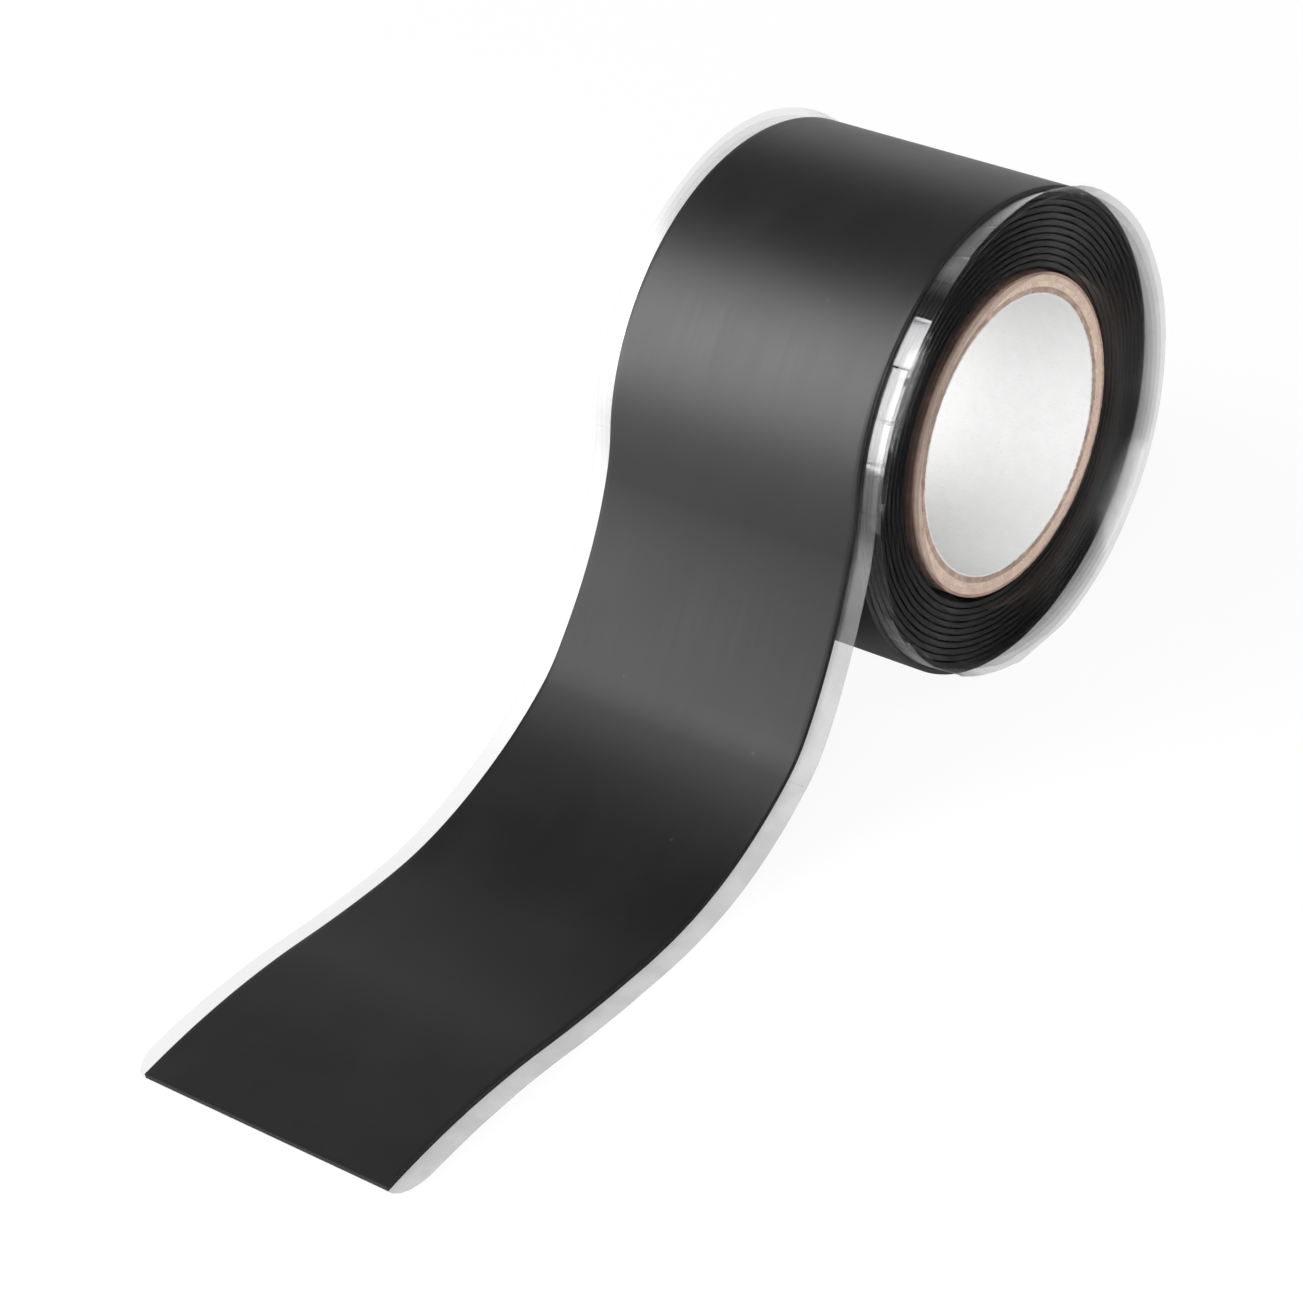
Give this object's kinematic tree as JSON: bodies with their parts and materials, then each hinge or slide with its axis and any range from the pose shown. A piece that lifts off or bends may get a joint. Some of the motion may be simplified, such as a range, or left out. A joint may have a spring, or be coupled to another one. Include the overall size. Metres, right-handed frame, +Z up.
{
  "type": "self-fusing tape roll",
  "caption": "Small roll of black self-fusing silicone repair tape with a clear release film, wound on a cardboard core, its free end drawn off and lying on the ground.",
  "frame": {"origin": "centre of the core's bore, halfway along it", "axes": "+Y along the bore and the roll's axis, away from the near end face; +Z up; the free end runs out along -X"},
  "size_m": [0.1058, 0.0292, 0.0429],
  "materials": {
    "silicone_tape": "black silicone rubber, smooth satin",
    "release_film": "clear release film, glossy",
    "core_board": "grey-brown core board, matt, cut edge",
    "kraft_paper": "kraft paper, matt",
    "white_paper": "bleached paper, matt",
    "adhesive_strip": "double-sided adhesive strip, tacky"
  },
  "bodies": {
    "roll": {"core_lining": "white_paper", "core_body_ply_1": "core_board", "core_body_ply_2": "core_board", "core_body_ply_3": "core_board", "core_kraft_ply": "kraft_paper", "start_strip": "adhesive_strip", "tape_wound": "silicone_tape", "film_wound": "release_film"},
    "hanging_strip": {"tape_hanging": "silicone_tape", "film_hanging": "release_film"},
    "lying_strip": {"tape_lying": "silicone_tape", "film_lying": "release_film"},
    "lifting_end": {"tape_end": "silicone_tape"}
  },
  "joints": [
    {"name": "release_bend", "type": "hinge", "parent": "roll", "child": "hanging_strip", "pos_m": [-0.02099, 0, 0.00408], "axis": [0, 1, 0], "range_deg": [0, 80], "stiffness_Nm_per_rad": 0.003},
    {"name": "landing_bend", "type": "hinge", "parent": "hanging_strip", "child": "lying_strip", "pos_m": [-0.05374, 0, -0.02097], "axis": [0, 1, 0], "range_deg": [-30, 80], "stiffness_Nm_per_rad": 0.003},
    {"name": "end_lift", "type": "hinge", "parent": "lying_strip", "child": "lifting_end", "pos_m": [-0.07035, 0, -0.02006], "axis": [0, 1, 0], "range_deg": [0, 90], "stiffness_Nm_per_rad": 0.001}
  ]
}
